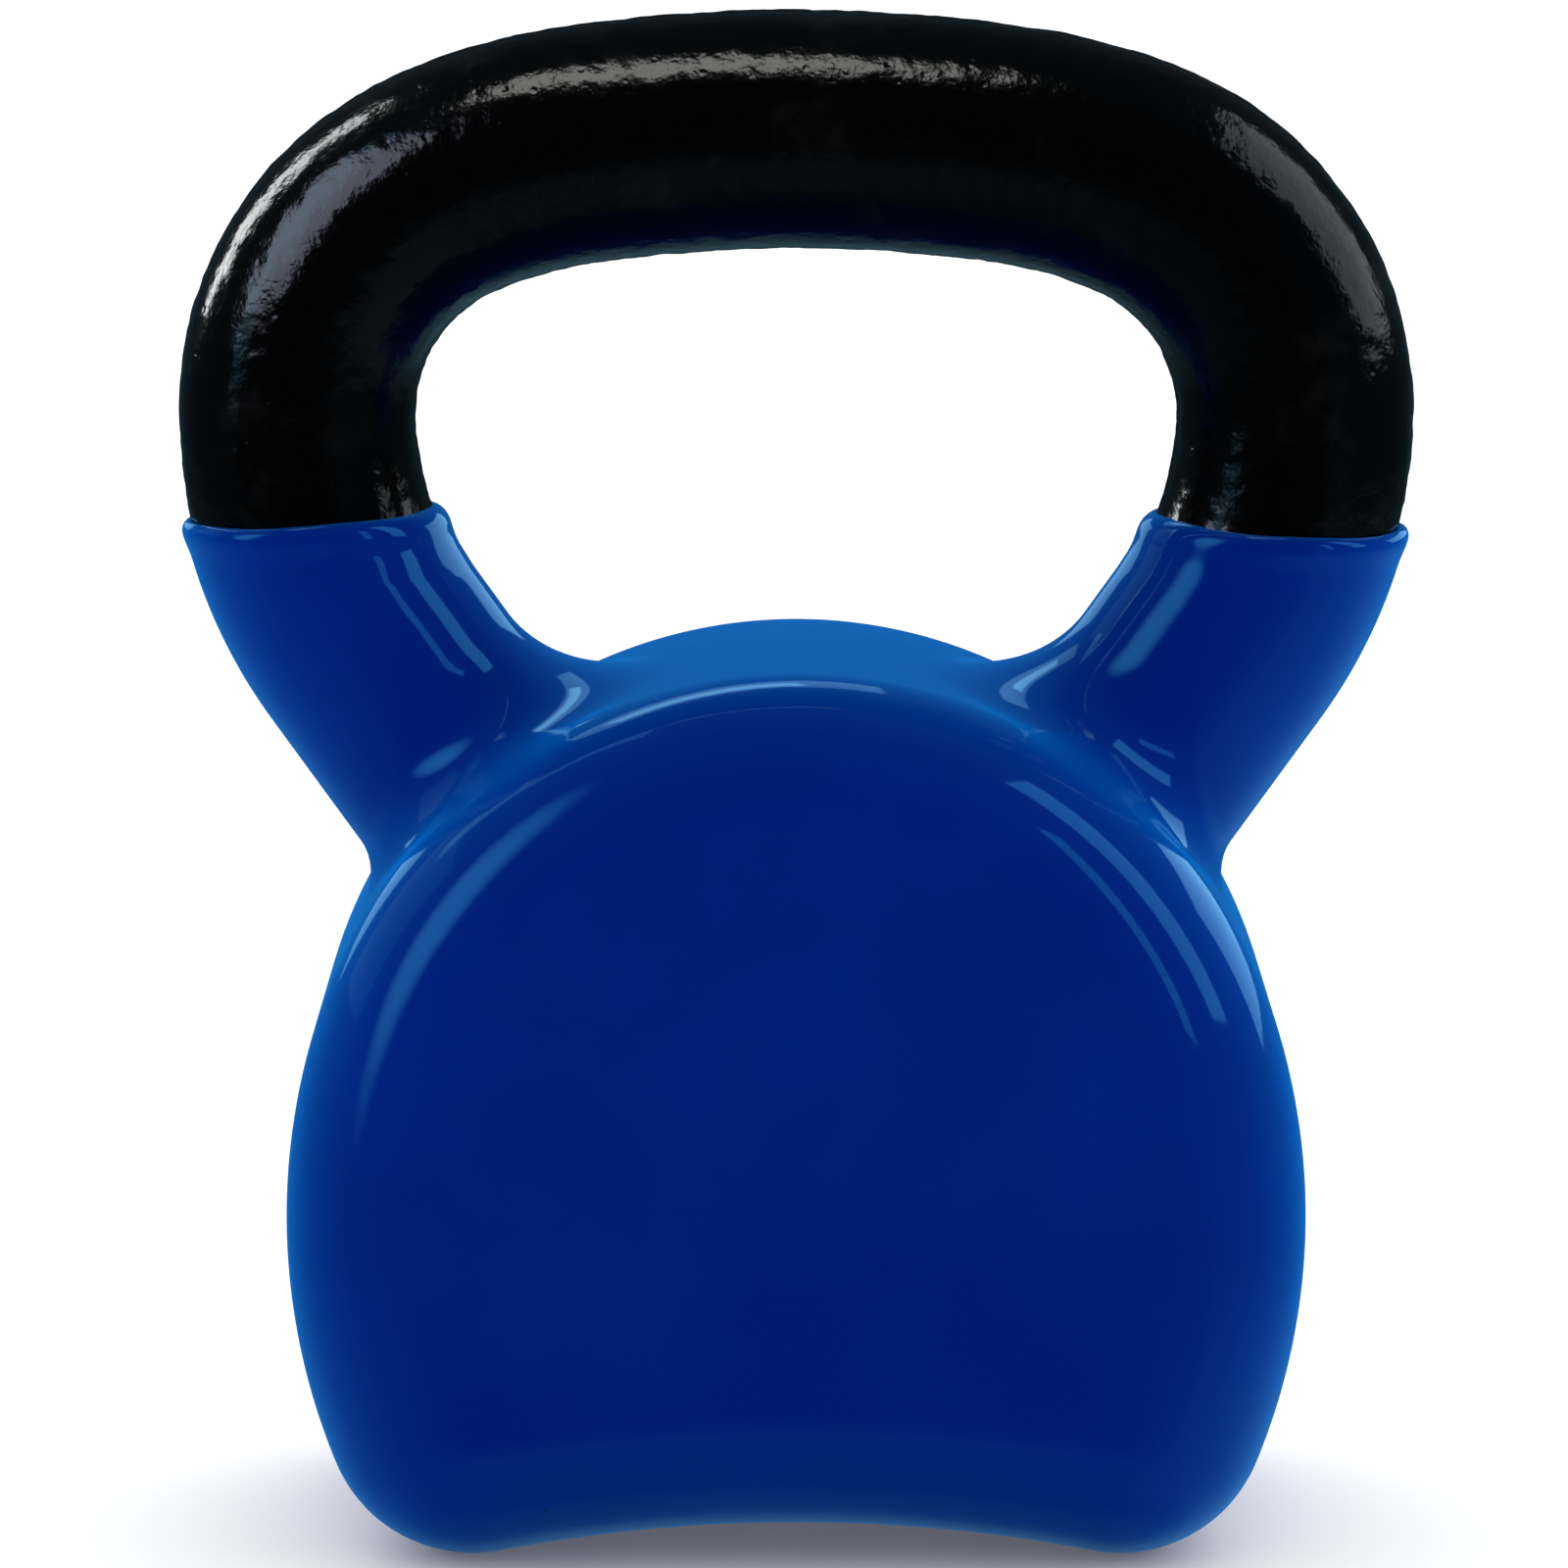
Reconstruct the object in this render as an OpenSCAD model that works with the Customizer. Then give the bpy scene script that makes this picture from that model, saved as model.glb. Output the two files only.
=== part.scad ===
// Vinyl dipped kettlebell: one iron casting, the enamel film on its bar, and the vinyl skin on its bell.
// Millimetres. Z is up from the floor, X runs along the grip, and Y runs through the bell.

/* [Bell] */
// Width of the bell across its sides
bell_w = 151; // [146:0.5:156]
// Height of the bell's crown above the floor
crown_z = 132; // [129:0.5:134]
// Height of the bell's widest line above the floor
waist_z = 50; // [47:0.5:53]
// Depth of the bell between its two flat faces
bell_d = 94; // [80:1:120]
// Radius of the bell's long side curves, seen from the front
side_r = 98; // [95:0.5:102]
// Radius of the rounding all round both faces
edge_r = 20; // [17:0.5:21]
// Radius of the two lower corners, seen from the front
foot_r = 22; // [21.5:0.5:24]
// Height of the hollow under the bell, at its middle
arch_rise = 4.6; // [2:0.2:6]

/* [Handle] */
// Diameter of the grip bar with its enamel
bar_d = 35; // [30:0.5:38]
// Height of the top of the grip bar above the floor
overall_h = 227; // [225:0.5:231]
// Radius of the long curve along the top of the grip
top_r = 215; // [190:5:240]
// Turn of that long curve on each side of the middle, in degrees
top_turn = 9; // [8:0.5:10]
// Radius of the easier curve before each shoulder
brow_r = 75; // [70:1:82]
// Turn of that easier curve, in degrees
brow_turn = 14.5; // [13:0.5:16]
// Radius of each shoulder, where the bar turns down
shoulder_r = 37.5; // [35:0.5:39]
// Radius of the bend that brings each horn in towards the bell
horn_r = 60; // [56:1:64]
// Turn of that bend, in degrees
horn_turn = 35.5; // [33:0.5:38]
// Straight length of each horn, down to its root inside the bell
horn_l = 44; // [40:1:50]
// Radius of the flare where each horn meets the bell
flare_r = 10; // [7:0.5:11]

/* [Coatings] */
// Thickness of the vinyl skin
vinyl_t = 1.8; // [1.5:0.1:2.5]
// Height of the dip line above the floor, where the vinyl ends on each horn
dip_z = 151; // [149:0.5:154]
// Height of the thicker band that the vinyl's lip forms at the dip line
lip_h = 2.2; // [1.5:0.1:4]
// How far the lip stands out from the rest of the skin
lip_step = 0.5; // [0.3:0.1:0.9]
// Thickness of the baked enamel on the bar
enamel_t = 0.3; // [0.2:0.05:0.5]
// Length of enamel covered by the vinyl below the dip line
enamel_lap = 6; // [4:0.5:8]

/* [Hidden] */
$fn = 96;
// Flattening of each foot where it stands on the floor
foot_sink = 0.1;
// How far the rim sections reach in from the outline
reach = 30;
// How far in from the outline the corners of the flat middle stand, inside the rim sections
core_in = 25.5;
// Steps between the middle's corners down each side
core_steps = 3;
// Share of the foot's turn at which the lowest corners stand
core_low = 0.75;
// Every second piece of a run is this much thinner than its neighbours
seam = 0.05;
// Every second piece of a run laps this far into its neighbours
lap = 1;
// Larger than the whole part, for the trimming blocks
big = 400;
vinyl_blue = [0.03, 0.24, 0.62];
enamel_black = [0.06, 0.06, 0.07];
iron_grey = [0.42, 0.42, 0.44];

// Front outline of the bell: four kinds of arc, each tangent to the next
side_x = side_r - bell_w / 2;
crown_rise = crown_z - waist_z;
crown_r = (side_r * side_r - side_x * side_x - crown_rise * crown_rise) / (2 * (side_r - crown_rise));
crown_c = crown_z - crown_r;
crown_a = atan2(crown_c - waist_z, side_x);
foot_z = foot_r - foot_sink;
foot_x = sqrt(pow(side_r - foot_r, 2) - pow(waist_z - foot_z, 2)) - side_x;
foot_a = atan2(foot_z - waist_z, foot_x + side_x);
arch_gap = foot_z - arch_rise;
arch_r = (foot_x * foot_x + arch_gap * arch_gap - foot_r * foot_r) / (2 * (foot_r - arch_gap));
arch_c = arch_rise - arch_r;
arch_a = asin(foot_x / (arch_r + foot_r));

// Middle line of the bar: arcs and a straight, each tangent to the one before.
// Each point is [x, z] and each turn is the slope below the horizontal.
turn_1 = top_turn;
turn_2 = turn_1 + brow_turn;
turn_3 = 90;
turn_4 = turn_3 + horn_turn;
grip_0 = [0, overall_h - bar_d / 2];
grip_1 = grip_0 + arc_step(top_r, 0, turn_1);
grip_2 = grip_1 + arc_step(brow_r, turn_1, turn_2);
grip_3 = grip_2 + arc_step(shoulder_r, turn_2, turn_3);
grip_4 = grip_3 + arc_step(horn_r, turn_3, turn_4);

// Where each horn's middle line enters the crown, and the lean of its flare there
horn_dir = [cos(turn_4), -sin(turn_4)];
root_from = grip_4 - [0, crown_c];
root_half = root_from * horn_dir;
root_len = -root_half - sqrt(root_half * root_half - root_from * root_from + crown_r * crown_r);
root_p = grip_4 + root_len * horn_dir;
horn_lean = turn_4 - 90;
root_lean = atan2(root_p[0], root_p[1] - crown_c);
flare_lean = (horn_lean + root_lean) / 2;

// Step from the start to the end of an arc that falls from slope a to slope b
function arc_step(r, a, b) = [r * (sin(b) - sin(a)), r * (cos(b) - cos(a))];

// Centre of the arc that starts at point p with slope a
function arc_centre(p, r, a) = [p[0] - r * sin(a), p[1] - r * cos(a)];

// Turn that one lap makes along an arc of radius r
function turn_of(r) = lap / r * 180 / PI;

// A point at distance r and angle a from a centre
function polar(c, r, a) = c + r * [cos(a), sin(a)];

// Which node to build

// Stands a turned shape upright, so that its axis runs through the bell
module upright(c) {
    translate([c[0], 0, c[1]])
        rotate([90, 0, 0])
            children();
}

// Both halves of something that is built on the right
module both_sides() {
    children();
    mirror([1, 0, 0]) children();
}

// Keeps what lies below a height
module below(z) {
    intersection() {
        children();
        translate([-big / 2, -big / 2, z - big]) cube(big);
    }
}

// Keeps what lies above a height
module above(z) {
    intersection() {
        children();
        translate([-big / 2, -big / 2, z]) cube(big);
    }
}

// A quarter of a disc, for a rounded corner
module quarter(r) {
    intersection() {
        circle(r);
        square(2 * r);
    }
}

// Half of the rim's section, from near to far, with its rounding at the far end
module half_section(near, far, half, e) {
    translate([near, 0]) square([far - near, half - e]);
    translate([near, 0]) square([far - near - e, half]);
    translate([far - e, half - e]) quarter(e);
}

// Rim's section, rounded on both faces
module rim_section(near, far, half, e) {
    half_section(near, far, half, e);
    mirror([0, 1]) half_section(near, far, half, e);
}

// One piece of the rim along an arc about c, from angle a to angle b
module rim_arc(c, near, far, half, e, a, b) {
    upright(c)
        rotate([0, 0, a])
            rotate_extrude(angle = b - a)
                rim_section(near, far, half, e);
}

// The rim over the hollow base, rounded towards the arc's centre
module base_rim(half, e, r) {
    turn = arch_a + turn_of(arch_r);
    upright([0, arch_c])
        rotate([0, 0, 90 - turn])
            rotate_extrude(angle = 2 * turn)
                translate([2 * r + reach, 0])
                    mirror([1, 0])
                        rim_section(r, r + reach, half, e);
}

// A corner of the bell's flat middle, on the inner part of the rim beside it
function core_point(turn) = polar([-side_x, waist_z], side_r - core_in, turn);

// Flat middle of the bell, inside its rim
module bell_core(half) {
    turn = (core_low * foot_a - crown_a) / core_steps;
    right = [for (step = [0:core_steps]) core_point(crown_a + step * turn)];
    left = [for (step = [core_steps:-1:0]) [-right[step][0], right[step][1]]];
    crown = [[0, crown_z - core_in]];
    translate([0, half, 0])
        rotate([90, 0, 0])
            linear_extrude(2 * half)
                polygon(concat(crown, right, left));
}

// The bell's body, drawn in by an inset all round
module bell(inset) {
    half = bell_d / 2 - inset;
    e = edge_r - inset;
    union() {
        rim_arc([0, crown_c], crown_r - reach, crown_r - inset, half, e, crown_a, 180 - crown_a);
        both_sides()
            rim_arc([-side_x, waist_z], side_r - reach, side_r - inset - seam, half - seam, e - seam,
                foot_a - turn_of(side_r), crown_a + turn_of(side_r));
        base_rim(half - seam, e - seam, arch_r + inset + seam);
        bell_core(half - seam);
    }
    both_sides() rim_arc([foot_x, foot_z], 0, foot_r - inset, half, e, -90 - arch_a, foot_a);
}

// One round piece of the bar along an arc that starts at p with slope a, lapped by a turn at both ends
module bar_arc(p, r, a, b, d, over) {
    upright(arc_centre(p, r, a))
        rotate([0, 0, 90 - b - over])
            rotate_extrude(angle = b - a + 2 * over)
                translate([r, 0])
                    circle(d / 2);
}

// The grip bar and both horns, as one round bar
module bar(d) {
    upright(arc_centre(grip_0, top_r, 0))
        rotate([0, 0, 90 - turn_1])
            rotate_extrude(angle = 2 * turn_1)
                translate([top_r, 0])
                    circle(d / 2);
    both_sides() {
        bar_arc(grip_2, shoulder_r, turn_2, turn_3, d, 0);
        horn_root(d);
        bar_arc(grip_1, brow_r, turn_1, turn_2, d - 2 * seam, turn_of(brow_r));
        bar_arc(grip_3, horn_r, turn_3, turn_4, d - 2 * seam, turn_of(horn_r));
    }
}

// The straight end of a horn, down into the bell
module horn_root(d) {
    translate([grip_4[0], 0, grip_4[1]])
        rotate([0, 180 + horn_lean, 0])
            cylinder(d = d, h = horn_l);
}

// The flare that carries a horn into the crown
module flare(d) {
    r = flare_r;
    translate([root_p[0], 0, root_p[1]])
        rotate([0, flare_lean, 0])
            rotate_extrude()
                difference() {
                    translate([0, -r]) square([d / 2 + r, 2 * r]);
                    translate([d / 2 + r, r]) circle(r);
                }
}

// The whole kettlebell's form: inset 0 is the vinyl's outside, and more is further in
module form(inset) {
    d = bar_d - 2 * enamel_t + 2 * (vinyl_t - inset);
    union() bell(inset);
    union() {
        bar(d);
        both_sides() flare(d);
    }
}

// Bell, horns and grip in one iron casting
module iron_casting() {
    color(iron_grey) above(vinyl_t) form(vinyl_t);
}

// Black enamel film on the bar, lapped under the vinyl at both ends
module handle_enamel() {
    color(enamel_black)
        above(dip_z - enamel_lap)
            difference() {
                bar(bar_d);
                bar(bar_d - 2 * enamel_t);
            }
}

// Blue vinyl skin over the bell and horns, up to the dip line
module vinyl_coat() {
    skin_d = bar_d - 2 * enamel_t + 2 * vinyl_t;
    color(vinyl_blue)
        difference() {
            union() {
                above(0) below(dip_z) form(0);
                above(dip_z - lip_h) below(dip_z) bar(skin_d + 2 * lip_step);
            }
            above(vinyl_t) form(vinyl_t);
            above(dip_z - enamel_lap) bar(bar_d);
        }
}

iron_casting();
handle_enamel();
vinyl_coat();
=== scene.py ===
"""The looks of a vinyl dipped kettlebell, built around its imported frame.

The bell, the horns and the bar are worked out in millimetres from the same arcs as the solids,
as a signed distance form, and every finished mesh is in metres in the frame's own axes:
+Z up from the floor, X along the grip, -Y out of the front face.
"""
import logging
import math
from dataclasses import dataclass, field
from enum import Enum
from typing import Any, Callable, Mapping, Sequence

import bmesh
import bpy
import numpy as np
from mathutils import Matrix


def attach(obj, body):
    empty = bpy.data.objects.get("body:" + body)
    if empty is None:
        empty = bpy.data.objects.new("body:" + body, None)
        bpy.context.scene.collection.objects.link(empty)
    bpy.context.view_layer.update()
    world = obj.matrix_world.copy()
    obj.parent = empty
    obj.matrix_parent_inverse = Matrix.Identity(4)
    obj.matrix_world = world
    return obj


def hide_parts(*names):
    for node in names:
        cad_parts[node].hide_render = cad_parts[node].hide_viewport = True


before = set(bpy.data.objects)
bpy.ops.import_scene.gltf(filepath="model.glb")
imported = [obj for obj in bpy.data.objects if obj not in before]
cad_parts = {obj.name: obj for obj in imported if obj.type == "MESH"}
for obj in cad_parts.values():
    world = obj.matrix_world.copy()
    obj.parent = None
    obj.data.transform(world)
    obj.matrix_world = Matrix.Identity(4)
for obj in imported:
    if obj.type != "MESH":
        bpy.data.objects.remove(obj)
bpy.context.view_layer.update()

import openvdb
from mathutils import Vector

LOG = logging.getLogger("kettlebell")
MM = 0.001
# A distance larger than any here, and a length or angle too small to matter
FAR = 1e6
HAIR = 1e-9
# The least that a squared slope is taken as, where a form is almost flat
LEAST_SLOPE = 0.05
ROOT = "root"

Points = np.ndarray
Distance = Callable[[Points], np.ndarray]


class Slot(Enum):
    """The record's material slots."""

    IRON = "cast_iron"
    ENAMEL = "black_enamel"
    VINYL = "blue_vinyl"


class Node(Enum):
    """The frame's CAD nodes."""

    IRON = "iron_casting"
    ENAMEL = "handle_enamel"
    VINYL = "vinyl_coat"


# ---------------------------------------------------------------- node trees


def math_method(operation: str, swapped: bool = False) -> Callable[..., "Wire"]:
    """Make a Wire method that adds one Math node, for self and another value or the two swapped."""

    def method(self: "Wire", other: Any = 0.0) -> "Wire":
        """Add the node."""
        first, second = (other, self) if swapped else (self, other)
        return self.graph.add("ShaderNodeMath", {"operation": operation}, {0: first, 1: second})

    return method


class Wire:
    """One value in a node tree, with arithmetic that adds Math nodes."""

    def __init__(self, graph: "Graph", socket: bpy.types.NodeSocket) -> None:
        """Wrap a socket."""
        self.graph = graph
        self.socket = socket

    __add__, __radd__ = math_method("ADD"), math_method("ADD", swapped=True)
    __sub__, __rsub__ = math_method("SUBTRACT"), math_method("SUBTRACT", swapped=True)
    __mul__, __rmul__ = math_method("MULTIPLY"), math_method("MULTIPLY", swapped=True)
    # 1 where self is greater than the other value, else 0; and self without its sign
    above, size = math_method("GREATER_THAN"), math_method("ABSOLUTE")

    def ramp(self, low: float, high: float, start: float = 0.0, end: float = 1.0) -> "Wire":
        """Blend smoothly from start to end while self goes from low to high.

        Args:
            low: Where the blend starts.
            high: Where it ends.
            start: The result at low and below.
            end: The result at high and above.

        Returns:
            The blended value.
        """
        return self.graph.add(
            "ShaderNodeMapRange",
            {"interpolation_type": "SMOOTHSTEP"},
            {"Value": self, "From Min": low, "From Max": high, "To Min": start, "To Max": end},
        )


class Graph:
    """A node tree that is written as Python expressions."""

    def __init__(self, tree: bpy.types.NodeTree) -> None:
        """Start on a tree."""
        self.tree = tree

    def node(self, kind: str, settings: Mapping[str, Any], sockets: Mapping[Any, Any]) -> bpy.types.Node:
        """Add a node."""
        node = self.tree.nodes.new(kind)
        for name, value in settings.items():
            setattr(node, name, value)
        for key, value in sockets.items():
            socket = node.inputs[key]
            if isinstance(value, Wire):
                self.tree.links.new(value.socket, socket)
            else:
                socket.default_value = value
        return node

    def add(
        self, kind: str, settings: Mapping[str, Any], sockets: Mapping[Any, Any], output: Any = 0
    ) -> Wire:
        """Add a node and take one of its outputs."""
        return Wire(self, self.node(kind, settings, sockets).outputs[output])

    def noise(
        self, where: Wire, per_metre: Any, detail: float = 2.0, rough: float = 0.5, seed: Any = 0.0
    ) -> Wire:
        """Add a noise pattern, about 0.5 on average.

        Args:
            where: The place to read it at.
            per_metre: How many blobs there are in a metre.
            detail: Octaves of finer noise.
            rough: Strength of each finer octave.
            seed: Another number gives another pattern.

        Returns:
            The noise value.
        """
        sockets = {"Vector": where, "W": seed, "Scale": per_metre, "Detail": detail, "Roughness": rough}
        return self.add("ShaderNodeTexNoise", {"noise_dimensions": "4D"}, sockets, 0)

    def mix_colour(self, factor: Any, first: Any, second: Any) -> Wire:
        """Mix two colours."""
        return self.add("ShaderNodeMix", {"data_type": "RGBA"}, {0: factor, 6: first, 7: second}, 2)

    def voronoi(self, where: Wire, per_metre: float) -> bpy.types.Node:
        """Add a pattern of cells.

        Args:
            where: The place to read it at.
            per_metre: How many cells there are in a metre.

        Returns:
            The node, with the distance from each cell's middle and the cell's colour.
        """
        return self.node("ShaderNodeTexVoronoi", {"feature": "F1"}, {"Vector": where, "Scale": per_metre})

    def bump(self, height: Wire, depth: float) -> Wire:
        """Add the normal of an uneven surface.

        Args:
            height: The surface's height, about 0 to 1.
            depth: What a height of 1 is in metres.

        Returns:
            The normal.
        """
        return self.add("ShaderNodeBump", {}, {"Strength": 1.0, "Distance": depth, "Height": height})


# ------------------------------------------------------------------ finishes


Colour = tuple[float, float, float, float]
WHITE: Colour = (1.0, 1.0, 1.0, 1.0)


def shader_graph(name: str) -> tuple[bpy.types.Material, Graph, Wire]:
    """Start a material whose patterns follow the object's own coordinates."""
    material = bpy.data.materials.new(name)
    material.use_nodes = True
    material.node_tree.nodes.clear()
    graph = Graph(material.node_tree)
    place = graph.add("ShaderNodeTexCoord", {}, {}, "Object")
    return material, graph, place


def finish_surface(graph: Graph, sockets: Mapping[str, Any]) -> None:
    """Close a material with one Principled shader."""
    surface = graph.add("ShaderNodeBsdfPrincipled", {}, sockets)
    graph.node("ShaderNodeOutputMaterial", {}, {"Surface": surface})


@dataclass(frozen=True)
class VinylFinish:
    """Smooth glossy dipped vinyl with a little dust and a few dark specks in it."""

    colour: Colour = (0.0003, 0.0095, 0.195, 1.0)
    paler: Colour = (0.0005, 0.0115, 0.215, 1.0)
    tones_per_metre: float = 28.0
    bloom: Colour = (0.0, 0.30, 1.0, 1.0)
    bloom_weight: float = 0.72
    bloom_roughness: float = 0.5
    gloss_tint: Colour = (0.18, 0.72, 1.0, 1.0)
    ior: float = 1.5
    roughness: float = 0.05
    smears_per_metre: float = 16.0
    smear_roughness: float = 0.03
    dust_per_metre: float = 900.0
    dust_roughness: float = 0.03
    speck: Colour = (0.001, 0.002, 0.012, 1.0)
    specks_per_metre: float = 55.0
    speck_radius: float = 0.02
    speck_roughness: float = 0.2
    cells_without_speck: float = 0.7
    waves_per_metre: float = 42.0
    ripples_per_metre: float = 240.0
    ripple_share: float = 0.12
    wave_depth: float = 0.00012

    def build(self) -> bpy.types.Material:
        """Make the material."""
        material, graph, place = shader_graph("dipped_vinyl")
        tone = graph.noise(place, self.tones_per_metre, 3.0).ramp(0.35, 0.65)
        base = graph.mix_colour(tone, self.colour, self.paler)
        cells = graph.voronoi(place, self.specks_per_metre)
        out = Wire(graph, cells.outputs["Distance"])
        near = out.ramp(0.5 * self.speck_radius, self.speck_radius, 1.0, 0.0)
        pick = graph.add("ShaderNodeSeparateColor", {}, {0: Wire(graph, cells.outputs["Color"])})
        speck = near * pick.above(self.cells_without_speck)
        smear = graph.noise(place, self.smears_per_metre, 4.0, 0.6, 3.0).ramp(0.52, 0.72)
        dust = graph.noise(place, self.dust_per_metre, 2.0, 0.5, 5.0)
        ripples = graph.noise(place, self.ripples_per_metre, 1.0, 0.5, 7.0)
        waves = graph.noise(place, self.waves_per_metre, 1.0, 0.5, 9.0)
        uneven = smear * self.smear_roughness + dust * self.dust_roughness + speck * self.speck_roughness
        finish_surface(graph, {
            "Base Color": graph.mix_colour(speck, base, self.speck),
            "Roughness": self.roughness + uneven,
            "Normal": graph.bump(ripples * self.ripple_share + waves, self.wave_depth),
            "IOR": self.ior,
            "Specular Tint": self.gloss_tint,
            "Sheen Weight": self.bloom_weight,
            "Sheen Roughness": self.bloom_roughness,
            "Sheen Tint": self.bloom,
        })
        return material


@dataclass(frozen=True)
class EnamelFinish:
    """Gloss black baked enamel that has flowed over rough iron."""

    colour: Colour = (0.0008, 0.0008, 0.0010, 1.0)
    worn: Colour = (0.0035, 0.0035, 0.0038, 1.0)
    wear_per_metre: float = 45.0
    wear_roughness: float = 0.08
    roughness: float = 0.1
    grains_per_metre: float = 950.0
    grain_roughness: float = 0.06
    grain_share: float = 0.35
    peel_per_metre: float = 420.0
    pits_per_metre: float = 300.0
    pit_radius: float = 0.22
    pit_share: float = 0.35
    peel_depth: float = 0.00014
    ior: float = 1.48
    gloss_level: float = 0.2

    def build(self) -> bpy.types.Material:
        """Make the material."""
        material, graph, place = shader_graph("baked_enamel")
        wear = graph.noise(place, self.wear_per_metre, 5.0, 0.65).ramp(0.55, 0.7)
        grain = graph.noise(place, self.grains_per_metre, 3.0, 0.6, 3.0)
        peel = graph.noise(place, self.peel_per_metre, 2.0, 0.5, 5.0)
        pits = Wire(graph, graph.voronoi(place, self.pits_per_metre).outputs["Distance"])
        height = peel + grain * self.grain_share + pits.ramp(0.0, self.pit_radius) * self.pit_share
        finish_surface(graph, {
            "Base Color": graph.mix_colour(wear, self.colour, self.worn),
            "Roughness": self.roughness + wear * self.wear_roughness + grain * self.grain_roughness,
            "Normal": graph.bump(height, self.peel_depth),
            "IOR": self.ior,
            "Specular IOR Level": self.gloss_level,
        })
        return material


@dataclass(frozen=True)
class IronFinish:
    """Bare grey iron with the sand's grain and a little rust bloom."""

    colour: Colour = (0.10, 0.10, 0.105, 1.0)
    darker: Colour = (0.045, 0.045, 0.05, 1.0)
    rust: Colour = (0.11, 0.05, 0.025, 1.0)
    rust_share: float = 0.6
    rust_per_metre: float = 24.0
    rust_roughness: float = 0.25
    scale_per_metre: float = 70.0
    grains_per_metre: float = 1100.0
    grain_roughness: float = 0.1
    grain_depth: float = 0.00025
    roughness: float = 0.5
    metallic: float = 0.85

    def build(self) -> bpy.types.Material:
        """Make the material."""
        material, graph, place = shader_graph("sand_cast_iron")
        scale = graph.noise(place, self.scale_per_metre, 6.0, 0.6)
        bloom = graph.noise(place, self.rust_per_metre, 5.0, 0.7).ramp(0.58, 0.75)
        grain = graph.noise(place, self.grains_per_metre, 4.0, 0.7)
        skin = graph.mix_colour(scale.ramp(0.35, 0.65), self.darker, self.colour)
        finish_surface(graph, {
            "Base Color": graph.mix_colour(bloom * self.rust_share, skin, self.rust),
            "Roughness": self.roughness + bloom * self.rust_roughness + grain * self.grain_roughness,
            "Metallic": self.metallic - bloom * self.rust_share,
            "Normal": graph.bump(grain + scale, self.grain_depth),
        })
        return material


@dataclass(frozen=True)
class FloorFinish:
    """Plain pale studio floor."""

    colour: Colour = (0.93, 0.93, 0.93, 1.0)
    duller: Colour = (0.90, 0.90, 0.90, 1.0)
    shades_per_metre: float = 0.8
    roughness: float = 0.9
    glow: float = 0.1

    def build(self) -> bpy.types.Material:
        """Make the material."""
        material, graph, place = shader_graph("pale_floor")
        shade = graph.noise(place, self.shades_per_metre, 2.0).ramp(0.3, 0.7)
        finish_surface(graph, {
            "Base Color": graph.mix_colour(shade, self.colour, self.duller),
            "Roughness": self.roughness,
            "Specular IOR Level": 0.0,
            "Emission Color": WHITE,
            "Emission Strength": self.glow,
        })
        return material


# ------------------------------------------------------------- signed forms


def fillet_union(a: np.ndarray, b: np.ndarray, radius: np.ndarray) -> np.ndarray:
    """Join two distance fields with a round fillet."""
    corner = np.hypot(np.maximum(radius - a, 0), np.maximum(radius - b, 0))
    return np.maximum(radius, np.minimum(a, b)) - corner


@dataclass(frozen=True)
class BellForm:
    """The bell: a flat-faced disc with a rounded rim on an outline of tangent arcs, in millimetres."""

    width: float = 151.0
    crown: float = 132.0
    waist: float = 50.0
    depth: float = 94.0
    side_r: float = 98.0
    edge_r: float = 20.0
    foot_r: float = 22.0
    arch: float = 4.6
    foot_sink: float = 0.1

    def __post_init__(self) -> None:
        """Work out the arcs' centres, radii and turns, each tangent to the next."""
        side_x = self.side_r - self.width / 2
        rise = self.crown - self.waist
        crown_r = (self.side_r**2 - side_x**2 - rise**2) / (2 * (self.side_r - rise))
        crown_c = self.crown - crown_r
        foot_z = self.foot_r - self.foot_sink
        foot_x = math.sqrt((self.side_r - self.foot_r) ** 2 - (self.waist - foot_z) ** 2) - side_x
        gap = foot_z - self.arch
        arch_r = (foot_x**2 + gap**2 - self.foot_r**2) / (2 * (self.foot_r - gap))
        found = {
            "side_x": side_x,
            "crown_r": crown_r,
            "crown_c": crown_c,
            "crown_a": math.atan2(crown_c - self.waist, side_x),
            "foot_x": foot_x,
            "foot_z": foot_z,
            "foot_a": math.atan2(foot_z - self.waist, foot_x + side_x),
            "arch_r": arch_r,
            "arch_c": self.arch - arch_r,
            "arch_a": math.asin(foot_x / (arch_r + self.foot_r)),
        }
        for name, value in found.items():
            object.__setattr__(self, name, value)

    def outline(self, x: np.ndarray, z: np.ndarray) -> np.ndarray:
        """Distance from the front outline, negative inside it."""
        x = np.abs(x)
        best = np.full(x.shape, FAR)
        arcs = (
            (0.0, self.crown_c, self.crown_r, self.crown_a, math.pi / 2 + HAIR),
            (-self.side_x, self.waist, self.side_r, self.foot_a, self.crown_a),
            (self.foot_x, self.foot_z, self.foot_r, -math.pi / 2 - self.arch_a, self.foot_a),
        )
        for cx, cz, radius, low, high in arcs:
            turn = np.arctan2(z - cz, x - cx)
            gap = np.hypot(x - cx, z - cz) - radius
            take = (turn >= low) & (turn <= high) & (np.abs(gap) < np.abs(best))
            best = np.where(take, gap, best)
        lean = np.arctan2(x, z - self.arch_c)
        gap = self.arch_r - np.hypot(x, z - self.arch_c)
        take = (lean <= self.arch_a) & (np.abs(gap) < np.abs(best))
        return np.where(take, gap, best)

    def distance(self, points: Points, inset: float) -> np.ndarray:
        """Signed distance from the bell."""
        across = self.outline(points[:, 0], points[:, 2]) + self.edge_r
        along = np.abs(points[:, 1]) - (self.depth / 2 - self.edge_r)
        outside = np.hypot(np.maximum(across, 0), np.maximum(along, 0))
        return np.minimum(np.maximum(across, along), 0) + outside - self.edge_r + inset


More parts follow.
